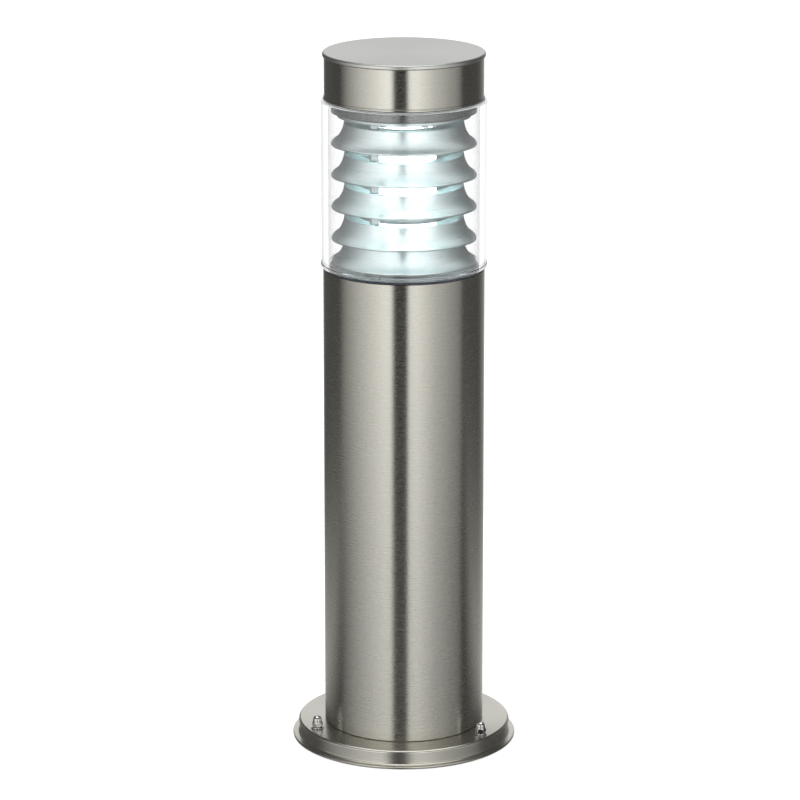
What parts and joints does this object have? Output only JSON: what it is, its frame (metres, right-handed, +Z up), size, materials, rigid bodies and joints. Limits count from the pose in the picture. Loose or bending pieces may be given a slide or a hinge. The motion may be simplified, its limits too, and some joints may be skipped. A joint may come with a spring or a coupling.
{
  "type": "bollard light",
  "caption": "Round brushed-steel bollard light: flanged base with domed nuts, plain post, clear cylinder over flared louvres, flat cap.",
  "frame": {"origin": "centre of the base on the ground, at the underside of the ground plate and the cover's brim", "axes": "+Z up along the post; -Y towards the viewer, with one domed nut to the left, one to the right and one behind"},
  "size_m": [0.1604, 0.1604, 0.5],
  "materials": {
    "brushed_steel": "stainless steel brushed round the axis, satin nickel tone",
    "spigot_steel": "spun steel, satin",
    "polished_steel": "polished stainless",
    "zinc_steel": "zinc plated, dull",
    "rod_steel": "bright zinc plated",
    "louvre_aluminium": "spun aluminium, satin anodised",
    "clear_plastic": "clear polycarbonate, polished",
    "dark_rubber": "matt moulded rubber",
    "grey_rubber": "translucent grey silicone",
    "holder_ceramic": "glazed porcelain",
    "brass": "plain brass",
    "nickel": "nickel plated",
    "lamp_white": "white moulded plastic",
    "lamp_opal": "opal plastic, glows cool white, emissive",
    "terminal_plastic": "natural polyamide",
    "brown_wire": "brown insulation",
    "blue_wire": "blue insulation",
    "green_wire": "green and yellow insulation"
  },
  "bodies": {
    "post": {"acorn_nut_1": "polished_steel", "acorn_nut_2": "polished_steel", "acorn_nut_3": "polished_steel", "base_cover": "brushed_steel", "base_stud_1": "zinc_steel", "base_stud_2": "zinc_steel", "base_stud_3": "zinc_steel", "body_tube": "brushed_steel", "cable_grommet": "dark_rubber", "earth_screw": "zinc_steel", "fixing_washer_1": "polished_steel", "fixing_washer_2": "polished_steel", "fixing_washer_3": "polished_steel", "lamp_plate": "zinc_steel", "lampholder_body": "holder_ceramic", "lampholder_contact": "brass", "lampholder_sleeve": "brass", "louvre_ring_1": "louvre_aluminium", "louvre_ring_2": "louvre_aluminium", "louvre_ring_3": "louvre_aluminium", "louvre_ring_4": "louvre_aluminium", "louvre_ring_5": "louvre_aluminium", "louvre_top_ring": "louvre_aluminium", "lower_gasket": "dark_rubber", "mounting_plate": "zinc_steel", "plate_screw_1": "zinc_steel", "plate_screw_2": "zinc_steel", "plate_screw_3": "zinc_steel", "plate_support_ring": "zinc_steel", "rod_nut_1": "rod_steel", "rod_nut_2": "rod_steel", "spacer_1_1": "rod_steel", "spacer_1_2": "rod_steel", "spacer_1_3": "rod_steel", "spacer_1_4": "rod_steel", "spacer_1_5": "rod_steel", "spacer_1_6": "rod_steel", "spacer_2_1": "rod_steel", "spacer_2_2": "rod_steel", "spacer_2_3": "rod_steel", "spacer_2_4": "rod_steel", "spacer_2_5": "rod_steel", "spacer_2_6": "rod_steel", "terminal_block": "terminal_plastic", "tie_rod_1": "rod_steel", "tie_rod_2": "rod_steel", "wire_earth": "green_wire", "wire_live": "brown_wire", "wire_neutral": "blue_wire"},
    "head": {"clear_cylinder": "clear_plastic", "upper_gasket": "grey_rubber", "cap_spigot": "spigot_steel", "cap_skirt": "brushed_steel", "cap_lid": "brushed_steel"},
    "lamp": {"lamp_screw_shell": "nickel", "lamp_tip_contact": "brass", "lamp_body": "lamp_white", "lamp_diffuser": "lamp_opal"}
  },
  "joints": [
    {"name": "head_lift", "type": "slide", "parent": "post", "child": "head", "axis": [0, 0, 1], "range_m": [0, 0.125]},
    {"name": "lamp_turn", "type": "hinge", "parent": "post", "child": "lamp", "pos_m": [0, 0, 0.3625], "axis": [0, 0, 1], "range_deg": [0, 900]}
  ]
}
